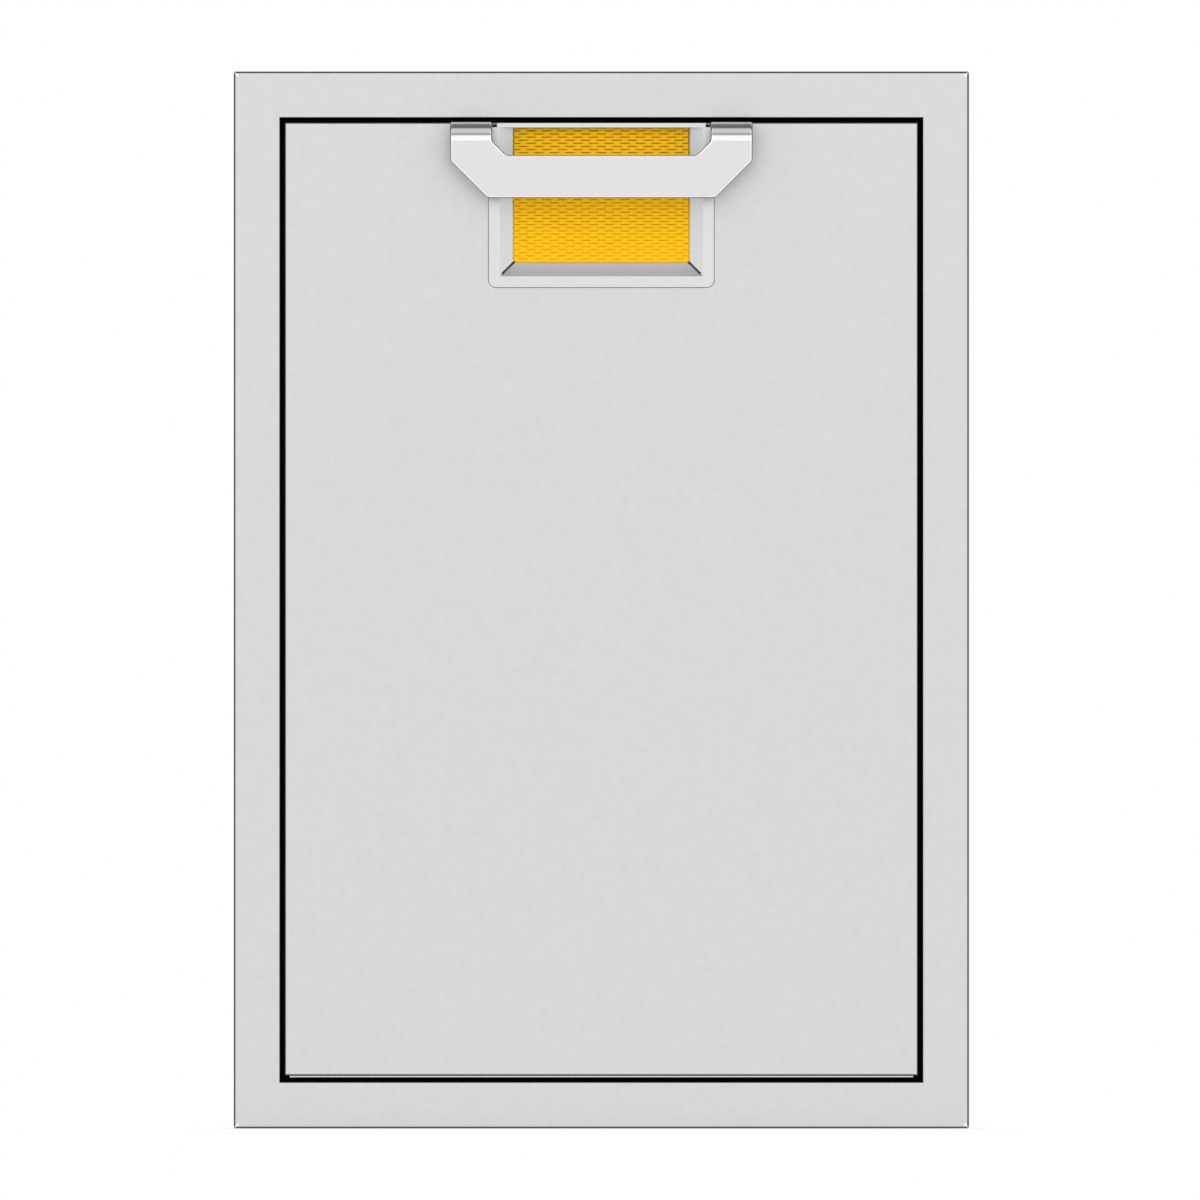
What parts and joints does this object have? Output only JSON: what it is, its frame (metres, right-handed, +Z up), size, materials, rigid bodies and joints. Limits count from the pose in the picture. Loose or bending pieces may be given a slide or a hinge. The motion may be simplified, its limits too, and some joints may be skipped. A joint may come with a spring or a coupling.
{
  "type": "roll-out waste drawer",
  "caption": "Built-in roll-out waste drawer: stainless trim frame, inset front with a recessed pocket and bent pull, ball slides, bin tray and lift-out bins in an open-top housing.",
  "frame": {"origin": "centre of the trim frame's back edge, in the plane of the island's face", "axes": "+X right as seen by the user in front, +Y into the island, +Z up"},
  "size_m": [0.508, 0.6253, 0.7302],
  "materials": {
    "satin_stainless": "satin stainless sheet, fine grain",
    "pocket_stainless": "satin stainless pressing",
    "pull_stainless": "polished stainless plate",
    "accent_yellow": "yellow powder coat over a woven emboss",
    "mill_stainless": "mill-finish stainless sheet",
    "zinc_plated_steel": "bright zinc plate",
    "ball_steel": "polished bearing steel",
    "fastener_steel": "plain stainless",
    "seal_rubber": "black EPDM",
    "lever_plastic": "black acetal",
    "bin_plastic": "charcoal polypropylene, fine moulded texture"
  },
  "bodies": {
    "housing": {"trim_frame": "satin_stainless", "housing_left_side": "mill_stainless", "housing_right_side": "mill_stainless", "housing_floor": "mill_stainless", "housing_back": "mill_stainless", "housing_rivets": "fastener_steel", "slide_housing_rivets": "fastener_steel", "left_slide_cabinet_member": "zinc_plated_steel", "right_slide_cabinet_member": "zinc_plated_steel", "left_slide_end_buffer": "seal_rubber", "right_slide_end_buffer": "seal_rubber"},
    "outer_ball_cages": {"left_slide_outer_cage": "zinc_plated_steel", "right_slide_outer_cage": "zinc_plated_steel", "left_slide_outer_balls": "ball_steel", "right_slide_outer_balls": "ball_steel"},
    "intermediate_members": {"left_slide_intermediate_member": "zinc_plated_steel", "right_slide_intermediate_member": "zinc_plated_steel"},
    "inner_ball_cages": {"left_slide_inner_cage": "zinc_plated_steel", "right_slide_inner_cage": "zinc_plated_steel", "left_slide_inner_balls": "ball_steel", "right_slide_inner_balls": "ball_steel"},
    "drawer": {"drawer_front_skin": "satin_stainless", "drawer_front_liner": "satin_stainless", "handle_pocket": "pocket_stainless", "handle_pull": "pull_stainless", "accent_plate": "accent_yellow", "bin_tray": "mill_stainless", "front_bin_stop": "mill_stainless", "middle_bin_stop": "mill_stainless", "rear_bin_stop": "mill_stainless", "left_front_stay": "mill_stainless", "right_front_stay": "mill_stainless", "left_handle_backing_plate": "mill_stainless", "right_handle_backing_plate": "mill_stainless", "left_slide_drawer_member": "zinc_plated_steel", "right_slide_drawer_member": "zinc_plated_steel", "slide_tray_rivets": "fastener_steel", "stay_rivets": "fastener_steel", "handle_screws": "fastener_steel", "front_fixing_screws": "fastener_steel", "liner_weld_nuts": "fastener_steel", "left_release_lever_pin": "fastener_steel", "right_release_lever_pin": "fastener_steel", "front_seal": "seal_rubber"},
    "front_bin": {"front_bin": "bin_plastic"},
    "rear_bin": {"rear_bin": "bin_plastic"},
    "left_release_lever": {"left_release_lever": "lever_plastic"},
    "right_release_lever": {"right_release_lever": "lever_plastic"}
  },
  "joints": [
    {"name": "drawer_slide", "type": "slide", "parent": "housing", "child": "drawer", "axis": [0, -1, 0], "range_m": [0, 0.55]},
    {"name": "intermediate_travel", "type": "slide", "parent": "housing", "child": "intermediate_members", "axis": [0, -1, 0], "range_m": [0, 0.275]},
    {"name": "outer_cage_travel", "type": "slide", "parent": "housing", "child": "outer_ball_cages", "axis": [0, -1, 0], "range_m": [0, 0.1375]},
    {"name": "inner_cage_travel", "type": "slide", "parent": "housing", "child": "inner_ball_cages", "axis": [0, -1, 0], "range_m": [0, 0.4125]},
    {"name": "front_bin_lift", "type": "slide", "parent": "drawer", "child": "front_bin", "axis": [0, 0, 1], "range_m": [0, 0.66]},
    {"name": "rear_bin_lift", "type": "slide", "parent": "drawer", "child": "rear_bin", "axis": [0, 0, 1], "range_m": [0, 0.66]},
    {"name": "left_lever_release", "type": "hinge", "parent": "drawer", "child": "left_release_lever", "pos_m": [-0.2152, 0.53, -0.22712], "axis": [1, 0, 0], "range_deg": [0, 6], "stiffness_Nm_per_rad": 0.2, "springref_deg": -1.72},
    {"name": "right_lever_release", "type": "hinge", "parent": "drawer", "child": "right_release_lever", "pos_m": [0.2152, 0.53, -0.22712], "axis": [1, 0, 0], "range_deg": [-6, 0], "stiffness_Nm_per_rad": 0.2, "springref_deg": 1.72}
  ],
  "couplings": [
    {"joint": "intermediate_travel", "follows": "drawer_slide", "ratio": 0.5},
    {"joint": "outer_cage_travel", "follows": "drawer_slide", "ratio": 0.25},
    {"joint": "inner_cage_travel", "follows": "drawer_slide", "ratio": 0.75}
  ]
}
